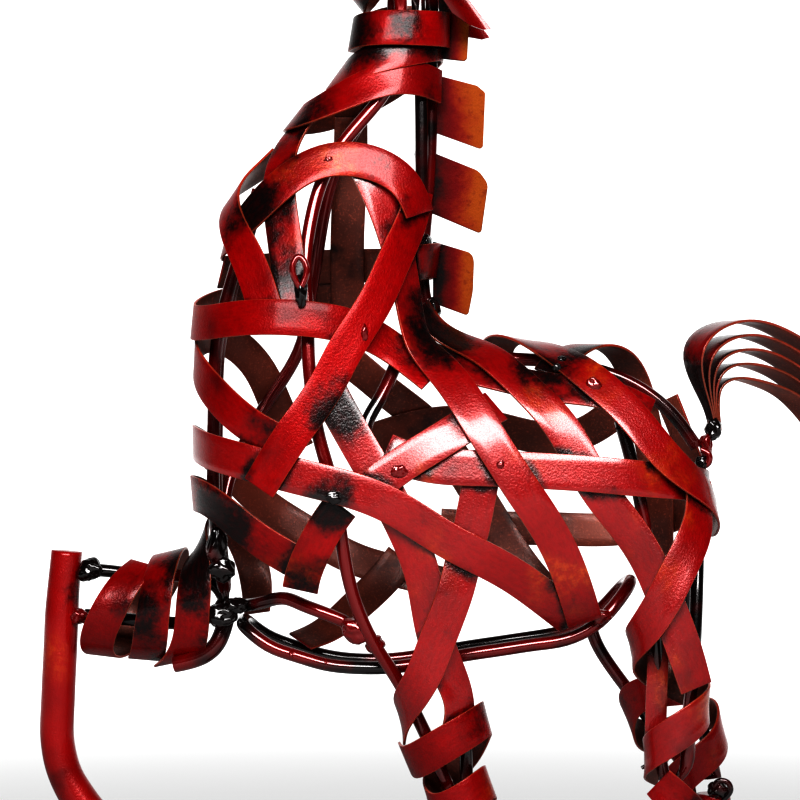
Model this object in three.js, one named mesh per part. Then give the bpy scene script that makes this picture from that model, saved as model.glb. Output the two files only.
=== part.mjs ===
// Standing horse sculpture: flat steel straps woven over a frame of round rods.
// Millimetres, +Z up. The horse faces -X, its near side is -Y, its feet stand on a thin base plate.
import * as THREE from 'three';

// ---- driving sizes ----
const STRAP_WIDTH = 9.4;
const STRAP_THICKNESS = 0.7;
const ROD_RADIUS = 1.75;
const ROD_DEPTH = 2.7;          // rod centre line below the skin the straps lie on
const LEG_TUBE_RADIUS = 4.6;
const LEG_SIDES = 12;
const HOOF_RADIUS = 7.6;
const GAP = 0.32;               // clearance kept wherever two pieces meet
const LOOSE_GAP = 0.9;          // clearance under a strap marked loose
const BASE_THICKNESS = 3;
const BASE_MIN_X = -22;
const BASE_MAX_X = 96;
const BASE_HALF_WIDTH = 34;
const SEGMENT_LENGTH = 8.5;
const WRAP_SEGMENT_LENGTH = 6;  // for the tighter turns round a limb
const LIFT_SLOPE = 0.24;        // how steeply a strap may climb over another one
const BLEND = 6;

// ---- body form: the smooth skin that every strap follows ----
const ELLIPSOIDS = [
  { at: [-30, 0, 171], r: [33.5, 28, 46] },
  { at: [8, 0, 164], r: [56, 31, 45] },
  { at: [45, 0, 168], r: [29.5, 27, 38] },
  { at: [-7, 0, 316], r: [16, 10, 14.5] },
  { at: [-21, 0, 314.5], r: [16, 9, 11.5] },
  { at: [-38, 0, 311.5], r: [18, 8.2, 8.8] },
];
// neck sections: height, middle x, half length, half width
const NECK = [
  [184, -31, 31, 27.5],
  [196, -31.5, 31.3, 27],
  [206, -31.5, 31, 26],
  [219, -30.5, 30.5, 24],
  [232, -26.8, 29, 21],
  [246, -25, 27, 19],
  [257, -20.5, 23.5, 17],
  [265, -16.5, 19.8, 15.5],
  [273, -12.6, 16, 13.5],
  [284, -9.2, 12, 11.5],
  [294, -8, 11, 10.5],
  [305, -7.5, 11, 10],
];
// limb forms: chains of x, y, z, radius
const LIMBS = [
  [[3, -18, 139, 12], [0.5, -18, 123, 10.5], [1.5, -18, 113, 9.8], [4, -17.5, 102, 9.6], [8, -17, 88, 7.8],
    [9, -17, 74, 7]],
  [[62, -14, 154, 13], [64, -17, 138, 10.5], [65, -18, 123, 9], [65, -18, 107, 7.8], [63.5, -17, 90, 7.4],
    [64, -17, 78, 7]],
  [[58, 15, 140, 13], [61.5, 17, 126, 13], [66.5, 18, 109, 12], [69.5, 18, 98, 11], [76.5, 18, 84, 8.5],
    [79, 18, 74, 7]],
  [[-58, 7, 138, 14.5], [-75, 11, 135, 13.5], [-88, 12, 135, 12.5]],
];

function ellipsoidDistance(p, shape) {
  const dx = p.x - shape.at[0];
  const dy = p.y - shape.at[1];
  const dz = p.z - shape.at[2];
  const [rx, ry, rz] = shape.r;
  const k0 = Math.hypot(dx / rx, dy / ry, dz / rz);
  const k1 = Math.hypot(dx / rx / rx, dy / ry / ry, dz / rz / rz);
  if (k1 < 1e-9) {
    return -Math.min(rx, ry, rz);
  }
  return (k0 * (k0 - 1)) / k1;
}

function smoothStep(t) {
  return t * t * (3 - 2 * t);
}

function neckDistance(p) {
  const low = NECK[0][0];
  const high = NECK[NECK.length - 1][0];
  const z = Math.min(Math.max(p.z, low), high);
  let i = 0;
  while (i < NECK.length - 2 && z > NECK[i + 1][0]) {
    i += 1;
  }
  const t = (z - NECK[i][0]) / (NECK[i + 1][0] - NECK[i][0]);
  const [, cx, rx, ry] = NECK[i].map((value, k) => value + (NECK[i + 1][k] - value) * t);
  const dx = p.x - cx;
  const k0 = Math.hypot(dx / rx, p.y / ry);
  const k1 = Math.max(Math.hypot(dx / rx / rx, p.y / ry / ry), 1e-6);
  return (k0 * (k0 - 1)) / k1 + Math.abs(p.z - z) * 0.7;
}

function limbDistance(p, chain) {
  let best = Infinity;
  for (let i = 0; i < chain.length - 1; i += 1) {
    const a = new THREE.Vector3(...chain[i]);
    const b = new THREE.Vector3(...chain[i + 1]);
    const ab = b.clone().sub(a);
    const t = THREE.MathUtils.clamp(p.clone().sub(a).dot(ab) / ab.lengthSq(), 0, 1);
    const radius = chain[i][3] + (chain[i + 1][3] - chain[i][3]) * smoothStep(t);
    best = Math.min(best, p.distanceTo(a.addScaledVector(ab, t)) - radius);
  }
  return best;
}

function blend(a, b) {
  const h = Math.max(BLEND - Math.abs(a - b), 0) / BLEND;
  return Math.min(a, b) - (h * h * BLEND) / 4;
}

function skin(p) {
  const parts = ELLIPSOIDS.map((shape) => ellipsoidDistance(p, shape));
  parts.push(neckDistance(p));
  LIMBS.forEach((chain) => parts.push(limbDistance(p, chain)));
  return parts.reduce(blend);
}

function skinNormal(p) {
  const e = 0.6;
  const along = (dx, dy, dz) => skin(new THREE.Vector3(p.x + dx, p.y + dy, p.z + dz));
  return new THREE.Vector3(
    along(e, 0, 0) - along(-e, 0, 0),
    along(0, e, 0) - along(0, -e, 0),
    along(0, 0, e) - along(0, 0, -e),
  ).divideScalar(2 * e);
}

function ontoSkin(p) {
  const q = p.clone();
  for (let i = 0; i < 5; i += 1) {
    const slope = skinNormal(q);
    q.addScaledVector(slope, -skin(q) / Math.max(slope.lengthSq(), 0.2));
  }
  return q;
}

// ---- closed meshes swept from rings of points ----
function signedVolume(positions, index) {
  const corner = (i) => new THREE.Vector3().fromArray(positions, 3 * index[i]);
  let total = 0;
  for (let i = 0; i < index.length; i += 3) {
    total += corner(i).dot(corner(i + 1).cross(corner(i + 2))) / 6;
  }
  return total;
}

function sweep(rings, closed) {
  const count = rings[0].length;
  const positions = [];
  rings.forEach((ring) => ring.forEach((v) => positions.push(v.x, v.y, v.z)));
  const index = [];
  const last = closed ? rings.length : rings.length - 1;
  for (let i = 0; i < last; i += 1) {
    const a = i * count;
    const b = ((i + 1) % rings.length) * count;
    for (let k = 0; k < count; k += 1) {
      const n = (k + 1) % count;
      if (k === 2 && count === 4) {
        index.push(a + k, a + n, b + k, a + n, b + n, b + k);   // same diagonal as the face below it
      } else {
        index.push(a + k, a + n, b + n, a + k, b + n, b + k);
      }
    }
  }
  if (!closed) {
    const end = (rings.length - 1) * count;
    for (let k = 1; k < count - 1; k += 1) {
      index.push(0, k + 1, k);
      index.push(end, end + k, end + k + 1);
    }
  }
  const geometry = new THREE.BufferGeometry();
  geometry.setAttribute('position', new THREE.Float32BufferAttribute(positions, 3));
  geometry.setIndex(signedVolume(positions, index) < 0 ? index.reverse() : index);
  return geometry;
}

function curveThrough(points, closed = false) {
  return new THREE.CatmullRomCurve3(points, closed, 'centripetal');
}

function vectors(list) {
  return list.map((p) => new THREE.Vector3(p[0], p[1], p[2]));
}

function roundSweep(points, radii, sides, steps, closed = false) {
  const curve = curveThrough(points, closed);
  const frames = curve.computeFrenetFrames(steps, closed);
  const rings = [];
  for (let i = 0; i < (closed ? steps : steps + 1); i += 1) {
    const u = i / steps;
    const at = curve.getPointAt(u);
    const place = u * (radii.length - 1);
    const j = Math.min(Math.floor(place), radii.length - 2);
    const radius = radii.length > 1 ? radii[j] + (radii[j + 1] - radii[j]) * (place - j) : radii[0];
    const ring = [];
    for (let k = 0; k < sides; k += 1) {
      const angle = (2 * Math.PI * k) / sides;
      const v = at.clone().addScaledVector(frames.normals[i], radius * Math.cos(angle));
      ring.push(v.addScaledVector(frames.binormals[i], radius * Math.sin(angle)));
    }
    rings.push(ring);
  }
  return sweep(rings, closed);
}

// ---- straps over the skin: name, weave order, colour, and a few points along the middle line ----
const RED = 0x9a0f12;
const DARK = 0x3a0c0c;
const BLACK = 0x171012;

const STRAPS = [
  ['collar_band', 6, RED, [[-21.5, 0, 290], [-15, -9, 290], [-8, -10, 290], [-2, -8, 290], [2, 0, 292],
    [-2.5, 8, 293], [-8, 10, 297.5], [-16, 9, 292.5]], 'ring'],
  ['throat_strap', 5, RED, [[2, -4, 275.5], [-8, -12, 277.5], [-15, -14, 275.5], [-23, -12, 271.5],
    [-29, -6, 262], [-33, 2, 265.5], [-29.5, 10, 268], [-19, 14, 275], [-8, 12, 281], [0, 4, 288],
    [-2, -8, 286], [-12, -12, 283.5], [-21, -8, 279.5], [-25, 0, 278.5]]],
  ['neck_upright', 1, RED, [[-40.5, -11, 272.5], [-43.5, -14, 264.5], [-42, -16, 256], [-39.5, -20, 239],
    [-37, -23, 225], [-36, -25, 210.5]]],
  ['neck_front_strap', 3, RED, [[-47, 9, 262], [-50.5, 2, 251.5], [-49, -6, 242.5], [-51, -11, 238],
    [-47.5, -17, 229.5], [-43.5, -21, 219], [-40.5, -24, 209.5]]],
  ['neck_arch_strap', 2, RED, [[-48.5, 3, 231.5], [-48, -6, 234], [-44.5, -11, 239], [-40.5, -14, 244.5],
    [-34.5, -16, 250], [-27, -17, 254], [-19, -17, 254], [-13, -17, 252.5], [-8.5, -15, 249.5], [-7, -12, 245],
    [-7.5, -10, 240]]],
  ['far_neck_band', 3, DARK, [[-4, -12, 228], [0, -5, 229.5], [1, 3, 229.5], [-4, 11, 229.5], [-17, 18, 229],
    [-33, 20, 228.5], [-46, 15, 227], [-54, 6, 225.5]]],
  ['far_neck_upright', 1, DARK, [[-22, 14, 270.5], [-22, 17, 257], [-23, 20, 239], [-23, 23, 220],
    [-22, 26, 206]]],
  ['chest_band', 4, RED, [[-25, 25, 220], [-42, 22, 219.5], [-57, 12, 217.5], [-63, 0, 213], [-55, -12, 211.5],
    [-40, -22, 212], [-29, -25, 211.5], [-20, -26, 210.5], [-10, -27, 208.5], [-2.5, -28, 205],
    [0.5, -28, 200.5]]],
  ['breast_strap', 1, RED, [[-37.5, -26, 180], [-49, -22, 187], [-56, -14, 195], [-60, -5, 201.5],
    [-65.5, 2, 206.5], [-63, 10, 210], [-53.5, 17, 207.5], [-46.5, 22, 200.5], [-43, 26, 190], [-37, 28, 178]]],
  ['shoulder_strap', 8, RED, [[-4.5, -11, 247.5], [-5.5, -14, 238.5], [-10, -17, 230.5], [-13.5, -21, 220],
    [-18, -25, 211], [-23.5, -27, 203], [-27.5, -28, 192.5], [-35, -28, 184], [-39, -27, 175.5],
    [-43, -25, 168.5]]],
  ['long_flank_strap', 7, RED, [[-16.5, -17, 252], [-10.5, -18, 239], [-7, -19, 229.5], [-2.5, -21, 220.5],
    [-0.5, -25, 211], [3, -28, 204.5], [8, -31, 194.5], [13, -32, 185], [18.5, -32, 176], [25.5, -31, 165],
    [33.5, -29, 153], [38, -24, 141], [41.5, -19, 131]]],
  ['hip_strap', 3, RED, [[1, -14, 216.5], [6, -17, 218.5], [14.5, -21, 208.5], [22, -26, 201],
    [26.5, -28, 195.5], [31, -30, 190], [36, -31, 184], [39.5, -31, 175], [44.5, -31, 167], [55, -28, 152],
    [63, -26, 135], [65.5, -25, 127], [67, -22, 117]]],
  ['ridge_strap', 2, RED, [[3.5, -27, 212.5], [8, -28, 207], [19.5, -28, 204], [28.5, -28, 199.5],
    [40, -27, 198.5], [49.5, -26, 195], [59.5, -24, 189.5]]],
  ['side_band', 5, RED, [[-11.5, -31, 178.5], [-1, -32, 174.5], [10, -32, 174], [23, -32, 173.5],
    [41, -31, 172.5], [54, -28, 171], [66, -20, 170], [73, -10, 168.5], [76.5, 0, 167.5], [75, 11, 164],
    [68, 20, 160.5], [52, 26, 156.5], [34, 29, 156], [17, 30, 156.5], [3, 31, 157]]],
  ['rib_strap', 6, RED, [[-14, -30, 169], [-8, -31, 174], [0, -32, 179], [8, -32, 184.5], [18, -32, 193]]],
  ['fore_strap', 2, RED, [[-28, -28, 197.5], [-25, -28, 191], [-20.5, -29, 184], [-17, -30, 177],
    [-12, -30, 169], [-8, -30, 161], [-3.5, -28, 152], [0.5, -25, 142], [1.5, -23, 133.5], [2, -22, 121.5],
    [3.5, -20, 112], [4, -19, 104.5]]],
  ['girth_strap', 6, RED, [[6.5, 25, 141], [-8, 27, 144.5], [-22, 27, 147.5], [-36, 26, 156.5],
    [-46.5, 23, 163.5], [-54, 17, 173], [-60.5, 9, 178.5], [-61, 0, 181], [-59, -10, 179], [-47, -21, 175.5],
    [-36, -26, 172], [-27, -29, 170], [-17, -30, 167], [-8, -31, 163.5], [3, -31, 156], [13, -30, 151.5],
    [23, -28, 145], [31, -25, 138.5], [39, -19, 130.5]]],
  ['breast_low_strap', 4, RED, [[-48, 17, 133], [-48, 19, 137], [-48.5, 20, 145], [-52.5, 16, 157],
    [-56.5, 8, 166.5], [-59.5, -1, 166.5], [-53.5, -10, 166.5], [-47.5, -18, 160], [-41.5, -21, 154.5],
    [-35.5, -23, 150.5]]],
  ['elbow_strap', 5, RED, [[-23, -29, 164], [-26, -28, 160], [-30, -26, 153], [-33, -23, 146],
    [-33.5, -21, 143]]],
  ['fore_wrap_strap', 4, RED, [[13.5, -32, 172.5], [12, -31, 166], [11, -31, 158], [8, -30, 150],
    [5.5, -27, 140], [2, -25, 132.5], [0.5, -24, 124], [-1.5, -22, 113.5], [-4, -19, 109.5], [-11.5, -15, 103]]],
  ['rump_strap', 9, RED, [[18.5, 18, 206], [19.5, 7, 212], [27.5, -7, 215], [33, -16, 211.5], [38, -21, 206],
    [43, -24, 198.5], [48, -26, 194.5], [54, -27, 188], [59, -26, 180], [65, -22, 172], [63, -14, 155],
    [75.5, -3, 160], [74, 9, 161.5], [75.5, 16, 173.5], [74.5, 18, 185], [66.5, 16, 193.5]]],
  ['thigh_strap', 6, RED, [[65.5, -15, 166], [68, -18, 161], [66, -22, 155.5], [64, -25, 148.5],
    [62, -26, 142], [60, -26, 135.5], [57, -24, 129], [56.5, -17, 127], [57.5, -11, 120.5], [64, -10, 117],
    [71, -14, 113.5], [71, -20, 111.5], [66.5, -25, 108], [62, -26, 102.5], [58, -23, 100], [57.5, -16, 96.5],
    [62.5, -10, 93]], 'loose'],
  ['far_flank_strap', 3, DARK, [[-25.5, 26, 205], [-13, 28, 197], [-2.5, 30, 187.5], [6, 31, 177],
    [15, 31, 163], [25, 29, 147], [36, 24, 132]]],
  ['far_side_band', 2, DARK, [[-24, 28, 178], [-14, 30, 182], [-3, 31, 186.5], [11, 31, 187.5],
    [28, 31, 183.5], [44, 29, 183.5], [52.5, 26, 190.5], [62, 18, 197.5]]],
  ['croup_strap', 1, DARK, [[32, -20, 201], [35.5, -13, 208.5], [43, -3, 211.5], [52, 7, 211.5], [58, 17, 201],
    [61.5, 23, 189.5], [64, 25, 175], [66.5, 24, 161], [63.5, 23, 149]]],
  ['far_belly_strap', 1, DARK, [[-8, 29, 148], [-14.5, 27, 139.5], [-21, 23, 133], [-27, 18, 125.5],
    [-36.5, 10, 113]]],
  ['arm_wrap', 4, RED, [[-78, 4, 149], [-81.5, -1, 146], [-86, -2, 136], [-90.5, 1, 126], [-89.5, 11, 122],
    [-84, 22, 126], [-77, 24, 138], [-71, 16, 147], [-71.5, 3, 147], [-73.5, -2, 136], [-76, 2, 125],
    [-78, 10, 121.5]]],
  ['arm_shoulder_wrap', 5, DARK, [[-60, 9, 155], [-60.5, 1, 151], [-62, -4, 146], [-63, -6, 138],
    [-64, -3, 129], [-67, 3, 124], [-72, 11, 121.5]]],
  ['fore_leg_wrap', 7, RED, [[-8.5, -14, 96.5], [-5, -24, 96.5], [0, -28, 100], [4.5, -27, 103.5],
    [10.5, -25, 106.5], [13.5, -17, 108], [11.5, -9, 100], [3.5, -8, 92], [-3.5, -14, 86], [1, -23, 83.5],
    [6, -26, 86], [13, -24, 89.5], [16.5, -17, 92], [13, -10, 85], [5.5, -9, 77]]],
  ['hind_leg_wrap', 7, RED, [[60, -23, 92], [62.5, -25, 89], [66.5, -24, 85], [70, -19, 81],
    [70.5, -13, 79]]],
  ['far_leg_wrap', 5, RED, [[77.5, 9, 114], [63, 8, 113.5], [55, 11, 109.5], [53, 19, 101], [62, 27, 97.5],
    [71, 27, 99.5], [80.5, 24, 106], [81.5, 15, 101], [76, 9, 95], [69.5, 11, 90.5], [72, 18, 84],
    [75.5, 25, 80]]],
  ['nose_strap', 3, RED, [[5, 0, 326], [-4, 0, 330], [-18, 0, 327], [-32, 0, 322], [-46, 0, 319]]],
  ['cheek_strap', 2, RED, [[6, -8, 316], [-8, -10, 316], [-22, -9, 314.5], [-38, -8, 312], [-51, -5, 311.5],
    [-56, 0, 311.5], [-51, 5, 311.5], [-38, 8, 312], [-22, 9, 314.5], [-8, 10, 316], [6, 8, 316]]],
  ['brow_band', 4, RED, [[-14, 0, 329], [-14, -8, 323], [-14, -10, 315], [-14, -7, 306], [-14, 0, 302], [-14, 7, 306],
    [-14, 10, 315], [-14, 8, 323]], 'ring'],
  ['muzzle_band', 4, RED, [[-39, 0, 321], [-39, -6, 318], [-39, -8, 311], [-39, -6, 305], [-39, 0, 302], [-39, 6, 305],
    [-39, 8, 311], [-39, 6, 318]], 'ring'],
];
// crossings where the weave goes the other way round: upper strap, lower strap
const SWAPS = [
  ['neck_arch_strap', 'shoulder_strap'],
  ['neck_arch_strap', 'long_flank_strap'],
];

function layStrap([name, order, color, list, kind]) {
  const closed = kind === 'ring';
  const control = vectors(list).map(ontoSkin);
  const curve = curveThrough(control, closed);
  const segment = name.endsWith('wrap') ? WRAP_SEGMENT_LENGTH : SEGMENT_LENGTH;
  const steps = Math.max(Math.ceil(curve.getLength() / segment), closed ? 10 : 6);
  const count = closed ? steps : steps + 1;
  const base = [];
  for (let i = 0; i < count; i += 1) {
    base.push(ontoSkin(curve.getPointAt(i / steps)));
  }
  const clearance = kind === 'loose' ? LOOSE_GAP : GAP + 0.1;
  const strap = { name, order, color, closed, clearance, base, normals: [], sides: [], lift: base.map(() => GAP) };
  for (let i = 0; i < count; i += 1) {
    const before = base[closed ? (i + count - 1) % count : Math.max(i - 1, 0)];
    const after = base[closed ? (i + 1) % count : Math.min(i + 1, count - 1)];
    const tangent = after.clone().sub(before).normalize();
    const side = tangent.clone().cross(skinNormal(base[i])).normalize();
    strap.sides.push(side);
    strap.normals.push(side.clone().cross(tangent).normalize());
  }
  return strap;
}

function stationPoint(strap, i, across, up) {
  const p = strap.base[i].clone();
  p.addScaledVector(strap.normals[i], strap.lift[i] + up);
  return p.addScaledVector(strap.sides[i], (across * STRAP_WIDTH) / 2);
}

function isOver(a, b) {
  if (SWAPS.some(([up, down]) => up === a.name && down === b.name)) {
    return true;
  }
  if (SWAPS.some(([up, down]) => up === b.name && down === a.name)) {
    return false;
  }
  return a.order > b.order || (a.order === b.order && a.rank > b.rank);
}

function segmentsOf(strap) {
  const count = strap.base.length;
  const segments = [];
  for (let i = 0; i < (strap.closed ? count : count - 1); i += 1) {
    segments.push([i, (i + 1) % count]);
  }
  return segments;
}

// how far the probe point has to rise to clear the upper face of the lower strap
function riseNeeded(probe, strap, clearance) {
  let rise = 0;
  for (const [i, j] of segmentsOf(strap)) {
    const a = stationPoint(strap, i, 0, STRAP_THICKNESS);
    const b = stationPoint(strap, j, 0, STRAP_THICKNESS);
    const run = b.clone().sub(a);
    const length = run.length();
    const rel = probe.clone().sub(a);
    if (rel.length() < length + STRAP_WIDTH) {
      run.divideScalar(length);
      const t = rel.dot(run) / length;
      const side = strap.sides[i].clone().lerp(strap.sides[j], THREE.MathUtils.clamp(t, 0, 1)).normalize();
      const up = side.clone().cross(run).normalize();
      const height = rel.dot(up);
      const onTop = Math.abs(rel.dot(side)) < STRAP_WIDTH / 2 + GAP;
      if (t > -0.06 && t < 1.06 && onTop && height > -7 && height < clearance) {
        rise = Math.max(rise, clearance - height);
      }
    }
  }
  return rise;
}

function raiseStrap(strap, lower) {
  const need = strap.lift.map(() => 0);
  for (const [i, j] of segmentsOf(strap)) {
    for (const t of [0, 0.25, 0.5, 0.75, 1]) {
      for (const across of [-1, -0.5, 0, 0.5, 1]) {
        const probe = stationPoint(strap, i, across, 0).lerp(stationPoint(strap, j, across, 0), t);
        const rise = Math.max(0, ...lower.map((other) => riseNeeded(probe, other, strap.clearance)));
        need[i] = Math.max(need[i], t < 1 ? rise : 0);
        need[j] = Math.max(need[j], t > 0 ? rise : 0);
      }
    }
  }
  need.forEach((rise, i) => {
    strap.lift[i] += rise;
  });
  for (let pass = 0; pass < 3; pass += 1) {
    for (const [i, j] of segmentsOf(strap)) {
      const drop = strap.base[i].distanceTo(strap.base[j]) * LIFT_SLOPE;
      strap.lift[i] = Math.max(strap.lift[i], strap.lift[j] - drop);
      strap.lift[j] = Math.max(strap.lift[j], strap.lift[i] - drop);
    }
  }
  return Math.max(...need);
}

const straps = STRAPS.map(layStrap);
straps.forEach((strap, rank) => {
  strap.rank = rank;
  strap.box = new THREE.Box3().setFromPoints(strap.base).expandByScalar(STRAP_WIDTH / 2 + 5);
});
straps.sort((a, b) => a.order - b.order || a.rank - b.rank);
for (let round = 0; round < 14; round += 1) {
  let worst = 0;
  straps.forEach((strap) => {
    const lower = straps.filter((other) => other !== strap && isOver(strap, other) && strap.box.intersectsBox(other.box));
    worst = Math.max(worst, raiseStrap(strap, lower));
  });
  if (worst < 0.02) {
    break;
  }
}

// ---- assembly ----
const group = new THREE.Group();
group.name = 'strap_horse';

function add(name, geometry, color, roughness = 0.3, metalness = 0.75) {
  const material = new THREE.MeshStandardMaterial({ color, roughness, metalness });
  const mesh = new THREE.Mesh(geometry, material);
  mesh.name = name;
  group.add(mesh);
}

straps.forEach((strap) => {
  const rings = strap.base.map((_, i) => [
    stationPoint(strap, i, -1, 0),
    stationPoint(strap, i, 1, 0),
    stationPoint(strap, i, 1, STRAP_THICKNESS),
    stationPoint(strap, i, -1, STRAP_THICKNESS),
  ]);
  add(strap.name, sweep(rings, strap.closed), strap.color);
});

// ---- rods: the welded frame under the straps ----
function rodUnderSkin(list) {
  return vectors(list).map((p) => {
    const q = ontoSkin(p);
    return q.addScaledVector(skinNormal(q).normalize(), -ROD_DEPTH);
  });
}

const RODS = [
  ['crest_rod', 28, [[-4, -9, 217], [-5, -8, 226], [-2.5, -6, 241], [-2.2, -6, 259], [-2.5, -5.5, 283], [-3, -4.5, 302],
    [-2.5, -2, 306], [0, 0, 302], [0.3, 0, 283], [0, 0, 257], [-1, 0, 242], [-2, 0, 227], [0.5, 0, 214], [11, 0, 205],
    [22, 0, 203], [35, 0, 202], [48, 0, 199], [57, 0, 195], [63, 0, 190], [69, 0, 184], [72, 0, 179]]],
  ['belly_strut_rod', 8, [[-50, 0, 136.3], [-46, -6, 137.3], [-38.5, -12, 139], [-32.5, -15, 137], [-28, -17, 135.5],
    [-22, -17, 133]]],
  ['fore_leg_rod', 18, [[-8, -16, 203], [-12, -20.5, 194], [-17, -24, 183], [-14.5, -25.5, 174], [-9, -26, 162],
    [-5, -25, 152], [-1, -22.5, 142], [2.5, -20, 132], [6.5, -18, 122], [9, -16, 112], [9.5, -16, 97],
    [9.5, -17, 85.5]]],
  ['hind_leg_rod', 18, [[50, -19, 186], [54, -21, 170], [57.5, -20, 150], [59.5, -18, 128], [60.5, -17, 107],
    [61.2, -17, 92], [64, -17, 88], [66.8, -17, 92], [68, -17, 107], [69.5, -18, 126], [70.5, -15, 144],
    [71.5, -9, 163]]],
  ['far_hind_leg_rod', 18, [[44, 17, 131], [46.5, 18, 124], [51, 18, 117], [57, 18, 109], [65.5, 18, 97], [73, 18, 89],
    [77.5, 18, 86.5], [78.5, 18, 91], [76, 18, 99], [73, 18, 112], [71, 17, 130], [71, 13, 146]]],
  ['arm_rod', 18, [[-94.8, 12, 145.5], [-88, 12, 145], [-80, 12, 144], [-66, 10, 143.5], [-59, 8.5, 141.5],
    [-56.5, 8, 137.5], [-59, 8.5, 133.5], [-66, 10, 131], [-80, 12, 131.5], [-94.8, 12, 133]]],
  ['chest_rod', 24, [[-46, -4.5, 248], [-51, -4.5, 231], [-57, -4.5, 208], [-58, -4.5, 185], [-58, -4.5, 166],
    [-56.6, -4.5, 150], [-55.8, -4, 143.5], [-55.5, 0, 141], [-55.8, 4, 143.5], [-56.6, 4.5, 150], [-58, 4.5, 166],
    [-58, 4.5, 185], [-57, 4.5, 208], [-51, 4.5, 231], [-46, 4.5, 248]]],
];
RODS.forEach(([name, steps, list]) => {
  add(name, roundSweep(vectors(list), [ROD_RADIUS], 8, steps), BLACK, 0.25, 0.8);
});

// neck loop: from the near foreleg up the neck, over the poll and down the far side to the chest
const NECK_ROD_NEAR = [[-23, -27, 151], [-24.6, -28, 166], [-28.5, -27, 180], [-31.5, -25, 200], [-32, -22, 214],
  [-33, -21, 227], [-32, -19, 237], [-28.5, -16, 250], [-22.5, -14, 261], [-13, -12, 272], [-8, -10, 284]];
const NECK_ROD_LEG = [[5, -17, 89], [0, -16.5, 101], [-7.5, -16.5, 116], [-17.5, -21, 133]];
const NECK_ROD_TOP = [[-8, -7, 300], [-9, 0, 307], [-10, 7, 300]];
const NECK_ROD_FAR = [[-12, 10, 285], [-18, 12, 272], [-26, 15, 256], [-30, 18, 241], [-33, 22, 223],
  [-37, 24, 205], [-42, 23.5, 197], [-48, 22, 188], [-55, 14, 170], [-56, 10, 160]];
const neckRod = vectors(NECK_ROD_LEG);
neckRod.push(...rodUnderSkin(NECK_ROD_NEAR), ...vectors(NECK_ROD_TOP), ...rodUnderSkin(NECK_ROD_FAR));
add('neck_rod', roundSweep(neckRod, [ROD_RADIUS], 8, 36), RED, 0.25, 0.8);

// belly loop: one rod run round both sides of the belly
const BELLY_SIDE = [[-49, 9, 131], [-44, 11, 127], [-36, 12.5, 124], [-27, 12.5, 121.4], [-14, 12.5, 120.6],
  [-5, 12.5, 121.4], [8, 12.5, 123.8], [29, 12.5, 127], [39, 12.5, 129], [45, 12, 133], [50, 10, 138], [53, 7, 142]];
const bellyPoints = BELLY_SIDE.map(([x, y, z]) => new THREE.Vector3(x, -y, z));
BELLY_SIDE.slice().reverse().forEach(([x, y, z]) => {
  bellyPoints.push(new THREE.Vector3(x, y, z));
});
add('belly_rod', roundSweep(bellyPoints, [ROD_RADIUS], 8, 32, true), BLACK, 0.25, 0.8);

// ---- lower legs: one tube each, flared into a plain hoof ----
function hoofedLeg(list, steps) {
  const shape = [[0, 1], [0.72, 1], [0.8, 1.12], [0.86, 1.16], [0.9, 1.3], [1, HOOF_RADIUS / LEG_TUBE_RADIUS]];
  const curve = curveThrough(vectors(list));
  const rings = [];
  for (let i = 0; i <= steps; i += 1) {
    const u = i / steps;
    const at = curve.getPointAt(u);
    const j = shape.findIndex((row, k) => k === shape.length - 2 || u <= shape[k + 1][0]);
    const t = (u - shape[j][0]) / (shape[j + 1][0] - shape[j][0]);
    const radius = LEG_TUBE_RADIUS * (shape[j][1] + (shape[j + 1][1] - shape[j][1]) * t);
    const ring = [];
    for (let k = 0; k < LEG_SIDES; k += 1) {
      const angle = (-2 * Math.PI * k) / LEG_SIDES;
      ring.push(new THREE.Vector3(at.x + radius * Math.cos(angle), at.y + radius * Math.sin(angle), at.z));
    }
    rings.push(ring);
  }
  return sweep(rings, false);
}

const FOOT_Z = BASE_THICKNESS + GAP;
const LEG_TUBES = [
  ['fore_lower_leg', [[9.5, -17, 83], [10, -17, 60], [11, -17, 42], [11.5, -17, 32], [8, -17, 20], [5, -17, FOOT_Z]]],
  ['hind_lower_leg', [[64, -17, 85.5], [66, -17, 62], [66.5, -17, 44], [66.5, -17, 33], [62, -17, 20], [59, -17, FOOT_Z]]],
  ['far_hind_lower_leg', [[78.5, 18, 83], [81, 18, 62], [82, 18, 44], [82, 18, 33], [78, 18, 20], [75, 18, FOOT_Z]]],
];
LEG_TUBES.forEach(([name, list]) => add(name, hoofedLeg(list, 18), RED));

const RAISED_TUBE = [[-99.8, 12, 150.5], [-101, 12, 136], [-101.6, 12, 123], [-102.2, 12, 110], [-102.4, 12, 99],
  [-100.5, 12, 90], [-96.2, 12, 82], [-90, 12, 73.5], [-84, 12, 66]];
const raisedRadii = [0.91, 0.95, 1, 1, 1, 1, 1, 1.02, 1.1, 1.2, 1.5].map((k) => k * LEG_TUBE_RADIUS);
add('raised_lower_leg', roundSweep(vectors(RAISED_TUBE), raisedRadii, LEG_SIDES, 20), RED);

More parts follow.
